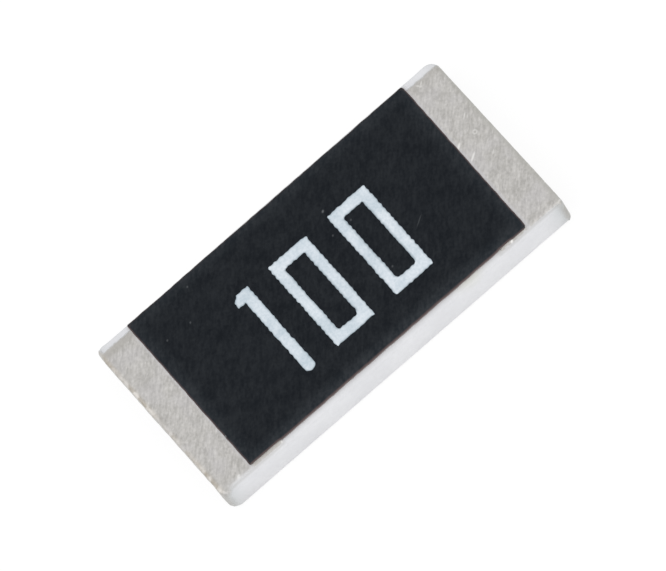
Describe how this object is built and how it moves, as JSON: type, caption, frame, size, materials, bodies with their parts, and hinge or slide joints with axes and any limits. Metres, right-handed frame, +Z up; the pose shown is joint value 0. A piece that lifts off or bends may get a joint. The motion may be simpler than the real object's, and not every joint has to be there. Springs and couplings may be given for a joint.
{
  "type": "smd chip resistor",
  "caption": "Flat rectangular thick-film chip resistor: a white ceramic body with a black printed overcoat and matte tin terminations wrapped round its ends, soldered flat to a board.",
  "frame": {"origin": "middle of the underside, in the plane of the solder pads", "axes": "+X along the chip's length, +Y across its width, +Z up out of the printed black face"},
  "size_m": [0.0062, 0.0032, 0.0006],
  "materials": {
    "alumina": "matte sintered white",
    "silver_print": "dull fired silver",
    "resistive_glaze": "satin dark grey",
    "trim_glass": "clear greenish glaze",
    "black_resin": "matte black",
    "nickel_plate": "satin nickel",
    "matte_tin": "matte tin, fine grain",
    "white_ink": "matte white ink"
  },
  "bodies": {
    "root": {"ceramic_substrate": "alumina", "left_top_electrode": "silver_print", "right_top_electrode": "silver_print", "left_bottom_electrode": "silver_print", "right_bottom_electrode": "silver_print", "resistive_film": "resistive_glaze", "glass_coat": "trim_glass", "black_overcoat": "black_resin", "left_end_electrode": "silver_print", "right_end_electrode": "silver_print", "left_nickel_barrier": "nickel_plate", "right_nickel_barrier": "nickel_plate", "left_tin_plating": "matte_tin", "right_tin_plating": "matte_tin"}
  },
  "joints": []
}
